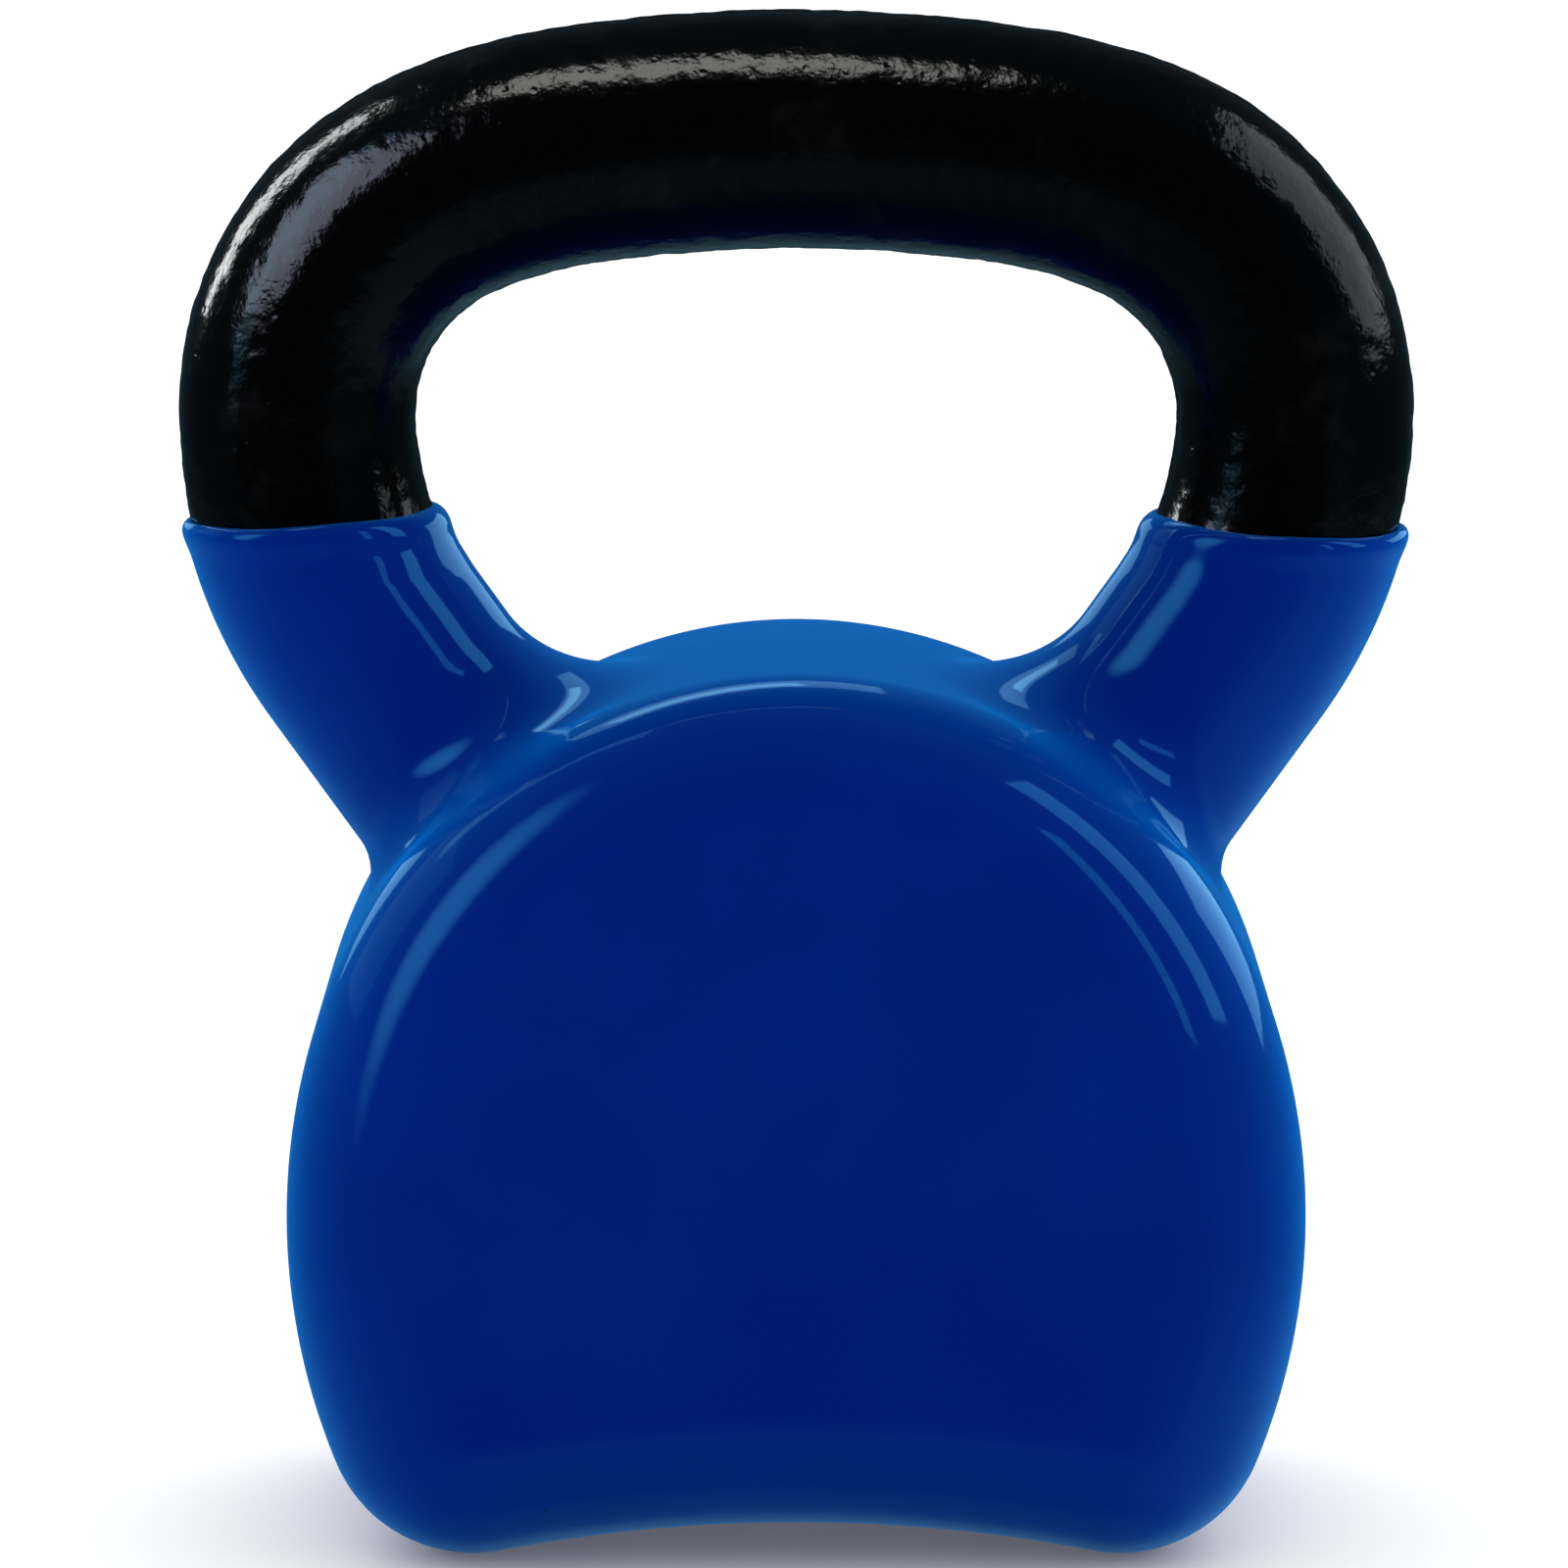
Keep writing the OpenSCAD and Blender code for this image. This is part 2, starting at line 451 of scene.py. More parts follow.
@dataclass(frozen=True)
class BarForm:
    """The grip bar and its horns: one round bar on tangent arcs, in millimetres."""

    diameter: float = 35.0
    top: float = 227.0
    top_r: float = 215.0
    top_turn: float = 9.0
    brow_r: float = 75.0
    brow_turn: float = 14.5
    shoulder_r: float = 37.5
    horn_r: float = 60.0
    horn_turn: float = 35.5
    horn_l: float = 44.0

    def arcs(self) -> list[tuple[float, float, float, float, float]]:
        """Work out the arcs of the right half, from the top to the horn.

        Returns:
            Centre x, centre z, radius, first and last slope of each arc.
        """
        turns = (self.top_turn, self.brow_turn, 90 - self.top_turn - self.brow_turn, self.horn_turn)
        radii = (self.top_r, self.brow_r, self.shoulder_r, self.horn_r)
        x, z, slope, found = 0.0, self.top - self.diameter / 2, 0.0, []
        for radius, turn in zip(radii, turns):
            last = slope + math.radians(turn)
            cx, cz = x - radius * math.sin(slope), z - radius * math.cos(slope)
            found.append((cx, cz, radius, slope, last))
            x, z, slope = cx + radius * math.sin(last), cz + radius * math.cos(last), last
        return found

    def horn_start(self) -> tuple[float, float, float]:
        """Where the straight of the right horn starts, and its slope."""
        cx, cz, radius, _, last = self.arcs()[-1]
        return cx + radius * math.sin(last), cz + radius * math.cos(last), last

    def line_distance(self, points: Points) -> np.ndarray:
        """Distance of each point from the bar's middle line."""
        x, y, z = np.abs(points[:, 0]), points[:, 1], points[:, 2]
        sx, sz, slope = self.horn_start()
        dx, dz = math.cos(slope), -math.sin(slope)
        along = np.clip((x - sx) * dx + (z - sz) * dz, 0, self.horn_l)
        best = np.hypot(x - sx - along * dx, z - sz - along * dz)
        for cx, cz, radius, first, last in self.arcs():
            turn = np.arctan2(x - cx, z - cz)
            gap = np.abs(np.hypot(x - cx, z - cz) - radius)
            take = (turn >= first) & (turn <= last) & (gap < best)
            best = np.where(take, gap, best)
        return np.hypot(best, y)

    def inner_share(self, points: Points) -> np.ndarray:
        """How far each point lies towards the inner side of its horn.

        Args:
            points: Rows of x, y, z.

        Returns:
            One share a point, from 0 at the horn's outer side to 1 at its inner side.
        """
        sx, sz, slope = self.horn_start()
        inward = (np.abs(points[:, 0]) - sx) * -math.sin(slope) + (points[:, 2] - sz) * -math.cos(slope)
        share = np.clip(0.5 + inward / self.diameter, 0, 1)
        return share * share * (3 - 2 * share)

    def middle_line(self, lowest: float, step: float) -> list[tuple[float, float, float]]:
        """Points along the middle line, from the left horn over the top to the right horn.

        Args:
            lowest: Height at which both ends stop.
            step: About the distance between points.

        Returns:
            Points in millimetres.
        """
        right = []
        for cx, cz, radius, first, last in self.arcs():
            count = max(2, round(radius * (last - first) / step))
            for turn in np.linspace(first, last, count, endpoint=False):
                right.append((cx + radius * math.sin(turn), 0.0, cz + radius * math.cos(turn)))
        right = [p for p in right if p[2] > lowest]
        left = [(-x, y, z) for x, y, z in reversed(right[1:])]
        return left + right


@dataclass(frozen=True)
class CoatSizes:
    """Thicknesses of the coatings, the dip line and the fillets, in millimetres."""

    vinyl: float = 1.8
    enamel: float = 0.3
    dip: float = 151.0
    lap: float = 6.0
    inner_fillet: float = 16.0
    outer_fillet: float = 5.0


@dataclass(frozen=True)
class KettlebellForm:
    """The bell and the bar joined by their fillets, as one signed distance."""

    bell: BellForm
    bar: BarForm
    sizes: CoatSizes

    def horn_radius(self) -> float:
        """Radius of the vinyl's outside on a horn."""
        return self.bar.diameter / 2 - self.sizes.enamel + self.sizes.vinyl

    def distance(self, points: Points, inset: float = 0.0) -> np.ndarray:
        """Signed distance from the form.

        Args:
            points: Rows of x, y, z.
            inset: 0 is the vinyl's outside, and more is further in.

        Returns:
            One distance a point.
        """
        horns = self.bar.line_distance(points) - self.horn_radius()
        share = self.bar.inner_share(points)
        inner, outer = self.sizes.inner_fillet, self.sizes.outer_fillet
        radius = outer + np.sqrt(share) * (inner - outer)
        return fillet_union(self.bell.distance(points, 0.0), horns, radius) + inset


# ------------------------------------------------------------- mesh building


@dataclass
class Skin:
    """A surface of vertices and polygons, in millimetres."""

    points: Points
    faces: list[tuple[int, ...]] = field(default_factory=list)

    def to_mesh(self, name: str) -> bpy.types.Mesh:
        """Make a Blender mesh in metres."""
        mesh = bpy.data.meshes.new(name)
        mesh.from_pydata((self.points * MM).tolist(), [], self.faces)
        mesh.validate()
        mesh.polygons.foreach_set("use_smooth", [True] * len(mesh.polygons))
        mesh.update()
        return mesh


def slope_of(form: Distance, points: Points, step: float = 0.02) -> Points:
    """Gradient of a form by central differences."""
    found = np.empty_like(points)
    for axis in range(3):
        nudge = np.zeros(3)
        nudge[axis] = step
        found[:, axis] = (form(points + nudge) - form(points - nudge)) / (2 * step)
    return found


def unit(vectors: Points) -> Points:
    """Vectors made one long."""
    return vectors / np.maximum(np.linalg.norm(vectors, axis=1, keepdims=True), HAIR)


def pull_on(form: Distance, points: Points, rounds: int = 4) -> Points:
    """Move points onto a form's surface along its gradient."""
    for _ in range(rounds):
        slope = slope_of(form, points)
        square = np.maximum((slope * slope).sum(1, keepdims=True), LEAST_SLOPE)
        points = points - form(points)[:, None] * slope / square
    return points


def relax(
    form: Distance, points: Points, edges: np.ndarray, rounds: int = 6, share: float = 0.6
) -> Points:
    """Even out a surface's vertices without leaving the surface.

    Args:
        form: The signed distance.
        points: Vertices on its surface.
        edges: Pairs of vertex numbers.
        rounds: Smoothing rounds.
        share: How much of the way to its neighbours' middle each vertex goes in a round.

    Returns:
        The moved vertices.
    """
    count = np.bincount(edges.ravel(), minlength=len(points))[:, None]
    for _ in range(rounds):
        total = np.zeros_like(points)
        np.add.at(total, edges[:, 0], points[edges[:, 1]])
        np.add.at(total, edges[:, 1], points[edges[:, 0]])
        drift = total / np.maximum(count, 1) - points
        normal = unit(slope_of(form, points))
        drift -= normal * (drift * normal).sum(1, keepdims=True)
        points = pull_on(form, points + share * drift, 1)
    return pull_on(form, points, 3)


def wrap(form: Distance, low: Sequence[float], high: Sequence[float], cell: float) -> Skin:
    """Cover a form with even quads that lie exactly on it.

    Args:
        form: The signed distance.
        low: Lowest corner of the box to cover.
        high: Highest corner.
        cell: Size of the quads.

    Returns:
        The closed surface.
    """
    axes = [np.arange(a, b + cell, cell) for a, b in zip(low, high)]
    shape = tuple(len(a) for a in axes)
    grid_points = np.stack(np.meshgrid(*axes, indexing="ij"), -1).reshape(-1, 3)
    band = 4 * cell
    values = np.clip(form(grid_points), -band, band).reshape(shape)
    grid = openvdb.FloatGrid(band)
    grid.copyFromArray(values.astype(np.float32))
    points, quads = grid.convertToQuads(isovalue=0.0)
    points = points.astype(float) * cell + np.array([a[0] for a in axes])
    edges = np.sort(np.concatenate([quads[:, [i, (i + 1) % 4]] for i in range(4)]), axis=1)
    edges = np.unique(edges, axis=0)
    points = relax(form, pull_on(form, points), edges)
    corner = points[quads]
    facing = np.cross(corner[:, 2] - corner[:, 0], corner[:, 3] - corner[:, 1])
    outward = (facing * slope_of(form, corner.mean(1))).sum(1).mean() > 0
    if not outward:
        quads = quads[:, ::-1]
    return Skin(points, [tuple(int(i) for i in quad) for quad in quads])


def keep_below(skin: Skin, height: float, shortest: float = 0.35) -> tuple[Skin, list[list[int]]]:
    """Cut a surface at a level and keep its lower part.

    Args:
        skin: The surface.
        height: The level, in millimetres.
        shortest: Edges of the cut that are shorter than this are closed up, in millimetres.

    Returns:
        The lower part and its open loops of vertex numbers.
    """
    work = bmesh.new()
    mesh = skin.to_mesh("work")
    work.from_mesh(mesh)
    bpy.data.meshes.remove(mesh)
    everything = work.verts[:] + work.edges[:] + work.faces[:]
    level = Vector((0, 0, height * MM))
    bmesh.ops.bisect_plane(
        work, geom=everything, plane_co=level, plane_no=(0, 0, 1), clear_outer=True, dist=1e-7
    )
    rim = [e for e in work.edges if e.is_boundary]
    short = [e for e in rim if e.calc_length() < shortest * MM]
    bmesh.ops.collapse(work, edges=short, uvs=False)
    work.verts.index_update()
    work.verts.ensure_lookup_table()
    follow = {}
    for edge in work.edges:
        if edge.is_boundary:
            loop = edge.link_loops[0]
            follow[loop.link_loop_next.vert.index] = loop.vert.index
    loops = []
    while follow:
        start, _ = next(iter(follow.items()))
        ring, here = [], start
        while here in follow:
            ring.append(here)
            here = follow.pop(here)
        loops.append(ring)
    points = np.array([v.co[:] for v in work.verts]) / MM
    faces = [tuple(v.index for v in f.verts) for f in work.faces]
    work.free()
    return Skin(points, faces), loops


def add_ring(skin: Skin, ring: Sequence[int], places: Points) -> list[int]:
    """Grow a surface by one ring of quads from an open loop.

    Args:
        skin: The surface, which gets the new vertices and faces.
        ring: The loop's vertex numbers.
        places: Where the new ring's vertices go.

    Returns:
        The new loop's vertex numbers.
    """
    first = len(skin.points)
    skin.points = np.vstack([skin.points, places])
    fresh = list(range(first, first + len(ring)))
    for i in range(len(ring)):
        j = (i + 1) % len(ring)
        skin.faces.append((ring[i], ring[j], fresh[j], fresh[i]))
    return fresh


def place_piece(
    name: str, mesh: bpy.types.Mesh, material: bpy.types.Material, node: Node
) -> bpy.types.Object:
    """Put a finished mesh in the scene in place of a CAD node."""
    mesh.name = name
    mesh.materials.clear()
    mesh.materials.append(material)
    piece = bpy.data.objects.new(name, mesh)
    bpy.context.scene.collection.objects.link(piece)
    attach(piece, ROOT)
    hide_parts(node.value)
    return piece


# ------------------------------------------------------------ sub-assemblies


# How far the horns stand out beyond the bell, and the room left round a form, in millimetres
HORN_OVERHANG = 20.0
ROOM = 2.0


@dataclass(frozen=True)
class CastSkin:
    """What the sand mould leaves on the bar: swells, lumps, grain and a parting ridge, in metres."""

    swell: float = 0.00040
    swells_per_metre: float = 48.0
    lump: float = 0.00011
    lumps_per_metre: float = 330.0
    grain: float = 0.00003
    grains_per_metre: float = 900.0
    ridge: float = 0.00030
    ridge_width: float = 0.0016
    wander: float = 0.0014
    wanders_per_metre: float = 90.0
    breaks_per_metre: float = 170.0
    seed: float = 4.0

    def sizes(self) -> dict[str, float]:
        """The sizes by the names that the node trees give them."""
        return {
            "Swell height": self.swell,
            "Swells per metre": self.swells_per_metre,
            "Lump height": self.lump,
            "Lumps per metre": self.lumps_per_metre,
            "Grain height": self.grain,
            "Grains per metre": self.grains_per_metre,
            "Ridge height": self.ridge,
            "Ridge width": self.ridge_width,
            "Ridge wander": self.wander,
            "Wanders per metre": self.wanders_per_metre,
            "Breaks per metre": self.breaks_per_metre,
            "Seed": self.seed,
        }

    @staticmethod
    def roughen(graph: Graph, take: Callable[[str], Wire], smooth: Wire, share: Any) -> Wire:
        """Add the nodes that push a smooth surface out and in along its normals."""
        place = graph.add("GeometryNodeInputPosition", {}, {})
        normal = graph.add("GeometryNodeInputNormal", {}, {})
        seed = take("Seed")
        swells = graph.noise(place, take("Swells per metre"), 2.0, 0.5, seed) - 0.5
        lumps = graph.noise(place, take("Lumps per metre"), 2.0, 0.55, seed + 1).ramp(0.3, 0.75) - 0.5
        grain = graph.noise(place, take("Grains per metre"), 1.0, 0.5, seed + 2) - 0.5
        split = graph.node("ShaderNodeSeparateXYZ", {}, {0: place})
        wander = graph.noise(place, take("Wanders per metre"), 1.0, 0.5, seed + 3) - 0.5
        across = (Wire(graph, split.outputs["Y"]) + wander * take("Ridge wander")).size()
        broken = graph.noise(place, take("Breaks per metre"), 3.0, 0.7, seed + 4).ramp(0.35, 0.6, 0.35, 1.0)
        ridge = across.ramp(0.0, take("Ridge width"), 1.0, 0.0) * broken
        height = (
            swells * take("Swell height")
            + lumps * take("Lump height")
            + grain * take("Grain height")
            + ridge * take("Ridge height")
        )
        scale = {"operation": "SCALE"}
        offset = graph.add("ShaderNodeVectorMath", scale, {0: normal, "Scale": height * share})
        return graph.add("GeometryNodeSetPosition", {}, {"Geometry": smooth, "Offset": offset})


def start_tree(name: str, sizes: Mapping[str, float]) -> tuple[Graph, Callable[[str], Wire]]:
    """Start a geometry node tree with a named input for each size.

    Args:
        name: The tree's name.
        sizes: Name and value of each input.

    Returns:
        The tree's graph, and a function that gives an input by its name.
    """
    tree = bpy.data.node_groups.new(name, "GeometryNodeTree")
    face = tree.interface
    face.new_socket("Geometry", in_out="INPUT", socket_type="NodeSocketGeometry")
    for label, value in sizes.items():
        kind = "NodeSocketInt" if isinstance(value, int) else "NodeSocketFloat"
        face.new_socket(label, in_out="INPUT", socket_type=kind).default_value = value
    face.new_socket("Material", in_out="INPUT", socket_type="NodeSocketMaterial")
    face.new_socket("Geometry", in_out="OUTPUT", socket_type="NodeSocketGeometry")
    graph = Graph(tree)
    given = graph.node("NodeGroupInput", {}, {})
    return graph, lambda label: Wire(graph, given.outputs[label])


def finish_tree(graph: Graph, take: Callable[[str], Wire], geometry: Wire) -> None:
    """End a tree in real geometry with its material."""
    smooth = graph.add("GeometryNodeSetShadeSmooth", {}, {0: geometry})
    real = graph.add("GeometryNodeRealizeInstances", {}, {0: smooth})
    done = graph.add("GeometryNodeSetMaterial", {}, {"Geometry": real, "Material": take("Material")})
    graph.node("NodeGroupOutput", {}, {0: done})


def run_tree(
    source: Any, graph: Graph, sizes: Mapping[str, float], material: bpy.types.Material
) -> bpy.types.Mesh:
    """Run a geometry node tree once on a mesh or curve."""
    blank = bpy.data.objects.new("blank", source)
    bpy.context.scene.collection.objects.link(blank)
    step = blank.modifiers.new(graph.tree.name, "NODES")
    step.node_group = graph.tree
    values = {**sizes, "Material": material}
    for item in graph.tree.interface.items_tree:
        if item.in_out == "INPUT" and item.name in values:
            step[item.identifier] = values[item.name]
    depsgraph = bpy.context.evaluated_depsgraph_get()
    mesh = bpy.data.meshes.new_from_object(blank.evaluated_get(depsgraph), depsgraph=depsgraph)
    blank.modifiers.remove(step)
    bpy.data.objects.remove(blank)
    return mesh


@dataclass
class IronCasting:
    """Bell, horns and bar in one piece of iron, all of it under vinyl or enamel."""

    form: KettlebellForm
    skin: CastSkin
    finish: IronFinish = IronFinish()
    cell: float = 1.6
    gap: float = 0.05
    fade: float = 0.006

    def core(self, points: Points) -> np.ndarray:
        """Signed distance from the iron, a hair inside its coatings."""
        return self.form.distance(points, self.form.sizes.vinyl + self.gap)

    def build(self) -> bpy.types.Object:
        """Make the casting, smooth under the vinyl and rough under the enamel."""
        bell, bar = self.form.bell, self.form.bar
        half, reach = bell.width / 2 + HORN_OVERHANG, bell.depth / 2 + ROOM
        covered = wrap(self.core, (-half, -reach, -ROOM), (half, reach, bar.top + ROOM), self.cell)
        low = (self.form.sizes.dip - self.form.sizes.lap) * MM
        sizes = {**self.skin.sizes(), "Smooth below": low - self.fade, "Rough above": low}
        graph, take = start_tree("rough_casting", sizes)
        place = graph.add("GeometryNodeInputPosition", {}, {})
        height = Wire(graph, graph.node("ShaderNodeSeparateXYZ", {}, {0: place}).outputs["Z"])
        blend = {"Value": height, "From Min": take("Smooth below"), "From Max": take("Rough above")}
        share = graph.add("ShaderNodeMapRange", {"interpolation_type": "SMOOTHSTEP"}, blend)
        finish_tree(graph, take, CastSkin.roughen(graph, take, take("Geometry"), share))
        material = self.finish.build()
        mesh = run_tree(covered.to_mesh("casting"), graph, sizes, material)
        return place_piece("iron_casting_body", mesh, material, Node.IRON)


@dataclass
class VinylCoat:
    """The blue skin over the bell and horns, up to a rounded lip at the dip line."""

    form: KettlebellForm
    finish: VinylFinish = VinylFinish()
    cell: float = 1.5
    tilt: float = 0.05
    left_rise: float = 1.3
    horn_middle: float = 72.0
    waves: tuple[tuple[float, int, int], ...] = ((0.16, 2, 1), (0.1, 5, 2))
    lip_start: float = 7.0
    lip_outside: tuple[tuple[float, float], ...] = (
        (6.0, 0.0), (5.1, 0.04), (4.3, 0.12), (3.5, 0.24), (2.8, 0.34), (2.2, 0.39), (1.7, 0.37),
        (1.25, 0.28), (0.85, 0.11), (0.5, -0.12), (0.22, -0.42), (0.05, -0.78), (0.0, -1.1),
    )
    lip_inside: tuple[tuple[float, float], ...] = ((0.15, 0.2), (0.5, 0.1), (1.0, 0.05), (1.7, 0.02))
    lap_thinning: float = 0.9
    lap_step: float = 1.5

    def lip_height(self, points: Points) -> np.ndarray:
        """Height of the dip line, a little uneven, and higher on the inner side and on the left."""
        side = np.sign(points[:, 0])
        out = np.abs(points[:, 0]) - self.horn_middle
        turn = np.arctan2(points[:, 1], out)
        wave = sum(rise * np.sin(times * turn + shift * side) for rise, times, shift in self.waves)
        return self.form.sizes.dip - self.tilt * out + wave + np.where(side < 0, self.left_rise, 0.0)

    def grow_lip(self, skin: Skin, ring: list[int]) -> list[int]:
        """Add the lip's rings, up the outside, over the top and down to the bar.

        Args:
            skin: The outer surface, open at the ring.
            ring: The open loop.

        Returns:
            The innermost loop.
        """
        bar = self.form.bar
        places = skin.points[ring]
        top = self.lip_height(places)
        outside = [(drop, self.form.horn_radius() + out) for drop, out in self.lip_outside]
        inside = [(drop, bar.diameter / 2 + out) for drop, out in self.lip_inside]
        for drop, radius in outside + inside:
            places = places.copy()
            places[:, 2] = top - drop
            for _ in range(5):
                gap = bar.line_distance(places) - radius
                slope = slope_of(bar.line_distance, places)[:, :2]
                square = np.maximum((slope * slope).sum(1, keepdims=True), LEAST_SLOPE)
                places[:, :2] -= gap[:, None] * slope / square
            ring = add_ring(skin, ring, places)
        return ring

    def wall(self, points: Points) -> np.ndarray:
        """Thickness of the skin, thinner where it laps over the enamel."""
        sizes = self.form.sizes
        share = np.clip((points[:, 2:] - (sizes.dip - sizes.lap - self.lap_step)) / self.lap_step, 0, 1)
        return sizes.vinyl - self.lap_thinning * share * share * (3 - 2 * share)

    def build(self) -> bpy.types.Object:
        """Make the coat as one closed shell."""
        bell = self.form.bell
        outside = self.form.distance
        half, reach = bell.width / 2 + HORN_OVERHANG + ROOM, bell.depth / 2 + 1.5 * ROOM
        cut = self.form.sizes.dip - self.lip_start
        covered = wrap(outside, (-half, -reach, -1.5 * ROOM), (half, reach, cut + 6 * ROOM), self.cell)
        skin, rings = keep_below(covered, cut)
        count = len(skin.points)
        free = np.ones(count, bool)
        free[[i for ring in rings for i in ring]] = False
        skin.points[free] = pull_on(outside, skin.points[free], 2)
        skin.points[:, 2] = np.maximum(skin.points[:, 2], 0.0)
        normals = unit(slope_of(outside, skin.points))
        inside = skin.points - normals * self.wall(skin.points)
        outer_faces = list(skin.faces)
        ends = [self.grow_lip(skin, ring) for ring in rings]
        first = len(skin.points)
        skin.points = np.vstack([skin.points, inside])
        skin.faces += [tuple(first + i for i in reversed(f)) for f in outer_faces]
        for ring, end in zip(rings, ends):
            for i in range(len(ring)):
                j = (i + 1) % len(ring)
                skin.faces.append((end[i], end[j], first + ring[j], first + ring[i]))
        mesh = skin.to_mesh("vinyl")
        shading = np.array([v.normal[:] for v in mesh.vertices])
        shading[:count][free] = normals[free]
        mesh.normals_split_custom_set_from_vertices(shading.tolist())
        return place_piece("vinyl_coat_shell", mesh, self.finish.build(), Node.VINYL)


@dataclass
class HandleEnamel:
    """The black film on the bar, which follows the lumps of the casting under it."""

    form: KettlebellForm
    skin: CastSkin
    finish: EnamelFinish = EnamelFinish()
    rings: int = 340
    sides: int = 140

    def middle_line(self) -> bpy.types.Curve:
        """Draw the bar's middle line, down to where the film ends under the vinyl."""
        line = self.form.bar.middle_line(self.form.sizes.dip - self.form.sizes.lap, 1.0)
        curve = bpy.data.curves.new("bar_line", "CURVE")
        curve.dimensions = "3D"
        spline = curve.splines.new("POLY")
        spline.points.add(len(line) - 1)
        for point, (x, y, z) in zip(spline.points, line):
            point.co = (x * MM, y * MM, z * MM, 1.0)
        return curve

    def build(self) -> bpy.types.Object:
        """Sweep a round bar along the line, roughen it and give it the film's thickness."""
        radius = self.form.bar.diameter / 2 * MM
        sizes = {"Radius": radius, "Rings": self.rings, "Sides": self.sides, **self.skin.sizes()}
        graph, take = start_tree("enamelled_bar", sizes)
        count = {"Curve": take("Geometry"), "Count": take("Rings")}
        line = graph.add("GeometryNodeResampleCurve", {}, count)
        profile = {"Resolution": take("Sides"), "Radius": take("Radius")}
        circle = graph.add("GeometryNodeCurvePrimitiveCircle", {}, profile)
        swept = graph.add("GeometryNodeCurveToMesh", {}, {"Curve": line, "Profile Curve": circle})
        finish_tree(graph, take, CastSkin.roughen(graph, take, swept, 1.0))
        material = self.finish.build()
        mesh = run_tree(self.middle_line(), graph, sizes, material)
        self.thicken(mesh)
        return place_piece("handle_enamel_film", mesh, material, Node.ENAMEL)

    def thicken(self, mesh: bpy.types.Mesh) -> None:
        """Give the open film its inner wall and its two ends."""
        work = bmesh.new()
        work.from_mesh(mesh)
        middle = sum((v.co for v in work.verts), Vector()) / len(work.verts)
        top = max(work.faces, key=lambda f: f.calc_center_median().z)
        if top.normal.dot(top.calc_center_median() - middle) < 0:
            bmesh.ops.reverse_faces(work, faces=work.faces)
        work.normal_update()
        wall = self.form.sizes.enamel * MM
        outer = list(work.faces)
        rim = [e for e in work.edges if e.is_boundary]
        partner = {v: work.verts.new(v.co - v.normal * wall) for v in list(work.verts)}
        for face in outer:
            work.faces.new([partner[v] for v in reversed(face.verts)])
        for edge in rim:
            loop = edge.link_loops[0]
            a, b = loop.vert, loop.link_loop_next.vert
            work.faces.new([b, a, partner[a], partner[b]])
        for face in work.faces:
            face.smooth = True
        work.to_mesh(mesh)
        work.free()
        mesh.update()


# ------------------------------------------------------------------- studio


def direction(azimuth: float, elevation: float) -> Vector:
    """Direction in the studio.

    Args:
        azimuth: Degrees from the front towards the right.
        elevation: Degrees up from the horizon.

    Returns:
        A vector one long.
    """
    turn, rise = math.radians(azimuth), math.radians(elevation)
    return Vector((math.cos(rise) * math.sin(turn), -math.cos(rise) * math.cos(turn), math.sin(rise)))


@dataclass(frozen=True)
class Glow:
    """A soft bright place on the room's walls or ceiling, with no edge."""

    azimuth: float
    elevation: float
    wide: float
    high: float
    radiance: float

    def seen(self, graph: Graph, way: Wire) -> Wire:
        """Add the nodes for its brightness."""
        centre = direction(self.azimuth, self.elevation)
        across = centre.cross(Vector((0, 0, 1))).normalized()
        along = across.cross(centre)
        dot = {"operation": "DOT_PRODUCT"}

        def reach(axis: Vector, angle: float) -> Wire:
            """Square of the distance along an axis.

            Args:
                axis: The axis, one long.
                angle: Degrees from the glow's middle to where its brightness is half.

            Returns:
                The square, 1 at that angle.
            """
            scaled = axis / math.sin(math.radians(angle))
            out = graph.add("ShaderNodeVectorMath", dot, {0: way, 1: tuple(scaled)}, "Value")
            return out * out

        ahead = graph.add("ShaderNodeVectorMath", dot, {0: way, 1: tuple(centre)}, "Value")
        far = reach(across, self.wide) + reach(along, self.high)
        return ahead.above(0.0) * far.ramp(0.0, 2.0, self.radiance, 0.0)


# The colour of the vinyl's own boxes, and the middle of the object, which every box faces
BLUE = (0.32, 0.72, 1.0)
MIDDLE = Vector((0, 0, 0.12))


@dataclass(frozen=True)
class SoftBox:
    """A soft box as one piece sees it: where it stands, how wide and high it looks, and its brightness."""

    name: str
    lights: Slot
    azimuth: float
    elevation: float
    wide: float
    high: float
    radiance: float
    colour: tuple[float, float, float]
    distance: float = 2.5

    def build(self, lit: Mapping[Slot, bpy.types.Collection]) -> None:
        """Hang the box."""
        way = direction(self.azimuth, self.elevation)
        lamp = bpy.data.lights.new(self.name, "AREA")
        lamp.shape = "RECTANGLE"
        lamp.size = 2 * self.distance * math.tan(math.radians(self.wide / 2))
        lamp.size_y = 2 * self.distance * math.tan(math.radians(self.high / 2))
        lamp.energy = self.radiance * math.pi * lamp.size * lamp.size_y
        lamp.color = self.colour
        holder = bpy.data.objects.new(self.name, lamp)
        holder.location = MIDDLE + way * self.distance
        holder.rotation_euler = (-way).to_track_quat("-Z", "Y").to_euler()
        holder.visible_diffuse = False
        holder.visible_camera = False
        holder.light_linking.receiver_collection = lit[self.lights]
        bpy.context.scene.collection.objects.link(holder)


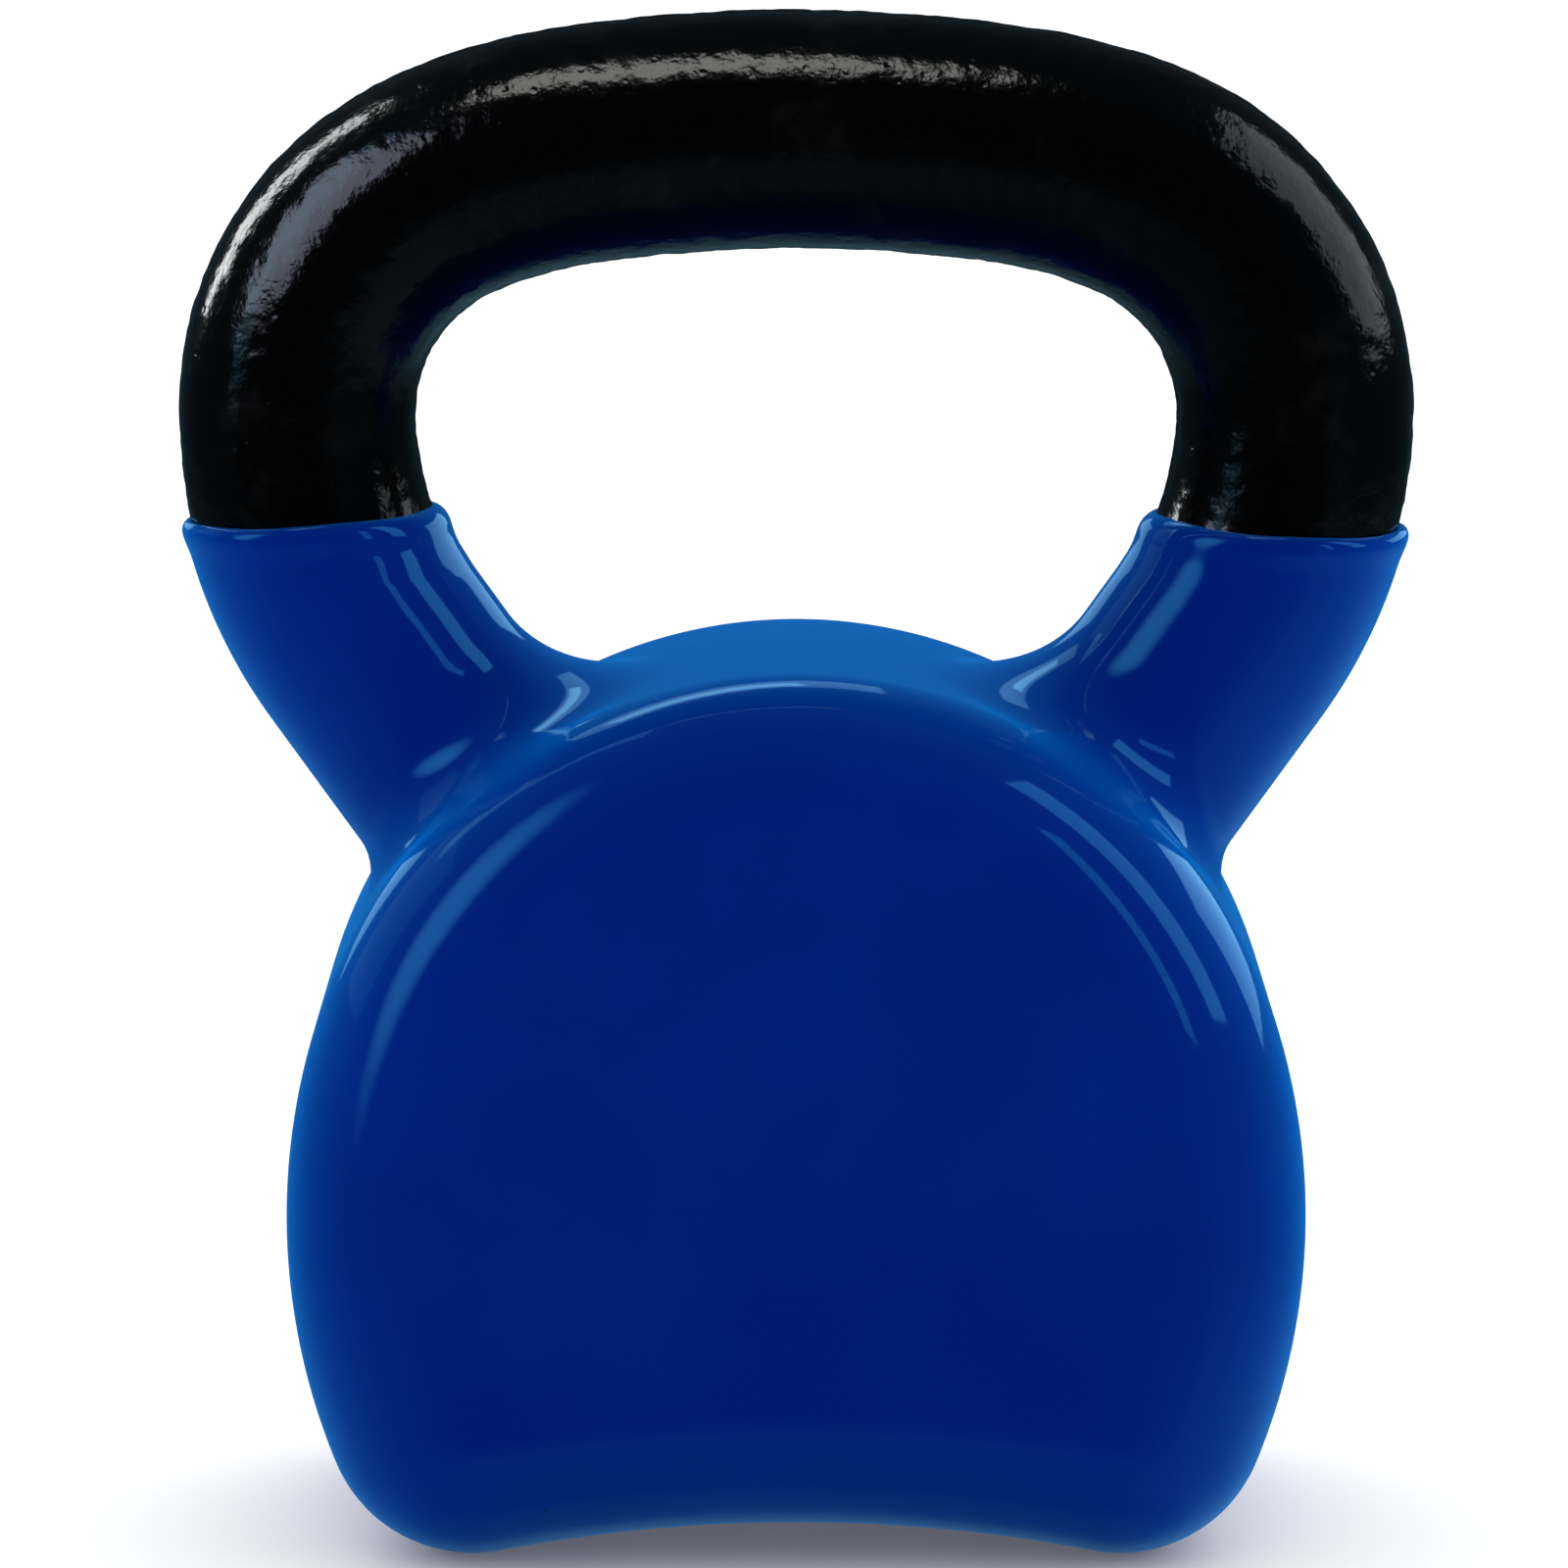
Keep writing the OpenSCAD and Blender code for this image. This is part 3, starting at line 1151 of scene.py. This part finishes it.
@dataclass
class Studio:
    """The pale floor, the white room, the soft boxes and the camera.

    The dome's numbers light the object and the glows are what its glossy surfaces see. Each edge
    is where a glow fades, as a direction's part towards the back, the right or up, from -1 to 1.
    """

    distance: float = 1.2
    eye: float = 0.311
    pitch: float = 9.46
    lens: float = 185.9
    side: float = -0.0018
    floor_reach: float = 12.0
    boxes: tuple[SoftBox, ...] = (
        SoftBox("crown_box", Slot.VINYL, -166, 43, 22, 6, 2.8, BLUE),
        SoftBox("crown_halo", Slot.VINYL, -164, 42, 42, 13, 1.3, BLUE),
        SoftBox("left_rear_window", Slot.VINYL, -152, 11, 26, 16, 1.6, BLUE),
        SoftBox("left_side_window", Slot.VINYL, -108, 22, 34, 26, 0.35, BLUE),
        SoftBox("left_back_strip", Slot.VINYL, -116, 48, 6, 36, 1.2, BLUE),
        SoftBox("right_front_strip", Slot.VINYL, 46, 20, 6, 34, 1.9, BLUE),
        SoftBox("right_side_strip", Slot.VINYL, 76, 32, 14, 46, 2.7, BLUE),
        SoftBox("right_rear_window", Slot.VINYL, 135, 13, 42, 20, 2.4, BLUE),
        SoftBox("grip_box", Slot.ENAMEL, -20, 72, 26, 13, 10.0, (1.0, 1.0, 0.95)),
        SoftBox("shoulder_strip", Slot.ENAMEL, -122, 30, 12, 42, 14.0, (0.95, 1.0, 1.0)),
        SoftBox("shoulder_window", Slot.ENAMEL, -56, 30, 36, 34, 7.0, (0.75, 0.77, 1.0)),
        SoftBox("far_shoulder_window", Slot.ENAMEL, 98, 30, 44, 44, 2.2, (0.88, 0.95, 1.0)),
    )
    glows: tuple[Glow, ...] = (Glow(-62, 26, 10, 22, 3.2),)
    dome: float = 1.3
    dome_back: float = 1.12
    dome_right: float = 0.12
    front_edge: tuple[float, float] = (-0.75, -0.1)
    low_edge: tuple[float, float] = (-0.5, -0.2)
    floor_edge: tuple[float, float] = (-0.95, -0.75)
    floor_share: float = 0.3
    low_side_edge: tuple[float, float] = (-0.3, 0.4)
    low_left_share: float = 0.4
    side_edge: tuple[float, float] = (0.45, 0.62)
    side_top: tuple[float, float] = (-0.1, 0.3)
    side_top_share: float = 0.4
    wall_glow: float = 0.05
    low_glow: float = 0.34
    side_glow: float = 0.1
    least_glow: float = 0.006
    seen_colour: Colour = (0.35, 0.75, 1.0, 1.0)

    def floor(self) -> None:
        """Lay the pale floor, out of sight of the glossy surfaces, which see the room instead."""
        mesh = bpy.data.meshes.new("floor")
        reach = self.floor_reach
        corners = [(-reach, -reach, 0), (reach, -reach, 0), (reach, reach, 0), (-reach, reach, 0)]
        mesh.from_pydata(corners, [], [(0, 1, 2, 3)])
        mesh.materials.append(FloorFinish().build())
        sheet = bpy.data.objects.new("floor", mesh)
        bpy.context.scene.collection.objects.link(sheet)
        sheet.visible_glossy = False

    def room(self) -> None:
        """Set a white room that is brighter behind, and what the glossy surfaces see of it."""
        world = bpy.data.worlds.new("studio")
        bpy.context.scene.world = world
        world.use_nodes = True
        world.node_tree.nodes.clear()
        graph = Graph(world.node_tree)
        way = graph.add("ShaderNodeTexCoord", {}, {}, "Generated")
        split = graph.node("ShaderNodeSeparateXYZ", {}, {0: way})
        right, back, up = (Wire(graph, split.outputs[axis]) for axis in "XYZ")
        dome = self.dome + back * self.dome_back + right * self.dome_right
        front = back.ramp(*self.front_edge, 1.0, 0.0)
        low = up.ramp(*self.low_edge, 1.0, 0.0) * up.ramp(*self.floor_edge, self.floor_share, 1.0)
        low = low * right.ramp(*self.low_side_edge, self.low_left_share, 1.0)
        beside = right.ramp(*self.side_edge, 0.0, 1.0) * up.ramp(*self.side_top, 1.0, self.side_top_share)
        walls = self.wall_glow * (1 - front)
        seen = walls + low * self.low_glow + beside * self.side_glow * front + self.least_glow
        for glow in self.glows:
            seen = seen + glow.seen(graph, way)
        path = graph.node("ShaderNodeLightPath", {}, {})
        camera, glossy = (Wire(graph, path.outputs[name]) for name in ("Is Camera Ray", "Is Glossy Ray"))
        strength = camera + (1 - camera) * (glossy * seen + (1 - glossy) * dome)
        tint = graph.mix_colour(glossy, WHITE, self.seen_colour)
        light = graph.add("ShaderNodeBackground", {}, {"Color": tint, "Strength": strength})
        graph.node("ShaderNodeOutputWorld", {}, {"Surface": light})

    def camera(self) -> None:
        """Put the camera in front, a little above the object, looking slightly down."""
        lens = bpy.data.cameras.new("camera")
        lens.lens = self.lens
        lens.sensor_width = 36.0
        lens.clip_end = 100.0
        eye = bpy.data.objects.new("camera", lens)
        eye.location = (self.side, -self.distance, self.eye)
        eye.rotation_euler = (math.radians(90 - self.pitch), 0.0, 0.0)
        bpy.context.scene.collection.objects.link(eye)
        bpy.context.scene.camera = eye

    def build(self, pieces: Mapping[Slot, bpy.types.Object]) -> None:
        """Set up the whole studio."""
        self.camera()
        self.floor()
        self.room()
        lit = {}
        for slot, piece in pieces.items():
            lit[slot] = bpy.data.collections.new("lit_" + slot.value)
            lit[slot].objects.link(piece)
        for box in self.boxes:
            box.build(lit)
        bpy.context.scene.view_settings.view_transform = "Standard"


def main() -> None:
    """Build the object piece by piece, and the studio around it."""
    logging.basicConfig(level=logging.INFO, format="%(name)s: %(message)s", force=True)
    form, skin = KettlebellForm(BellForm(), BarForm(), CoatSizes()), CastSkin()
    assemblies = {
        Slot.IRON: IronCasting(form, skin),
        Slot.VINYL: VinylCoat(form),
        Slot.ENAMEL: HandleEnamel(form, skin),
    }
    pieces = {}
    for slot, assembly in assemblies.items():
        pieces[slot] = assembly.build()
        mesh = pieces[slot].data
        LOG.info("%s: %d vertices, %d faces", pieces[slot].name, len(mesh.vertices), len(mesh.polygons))
    Studio().build(pieces)


if __name__ == "__main__":
    main()
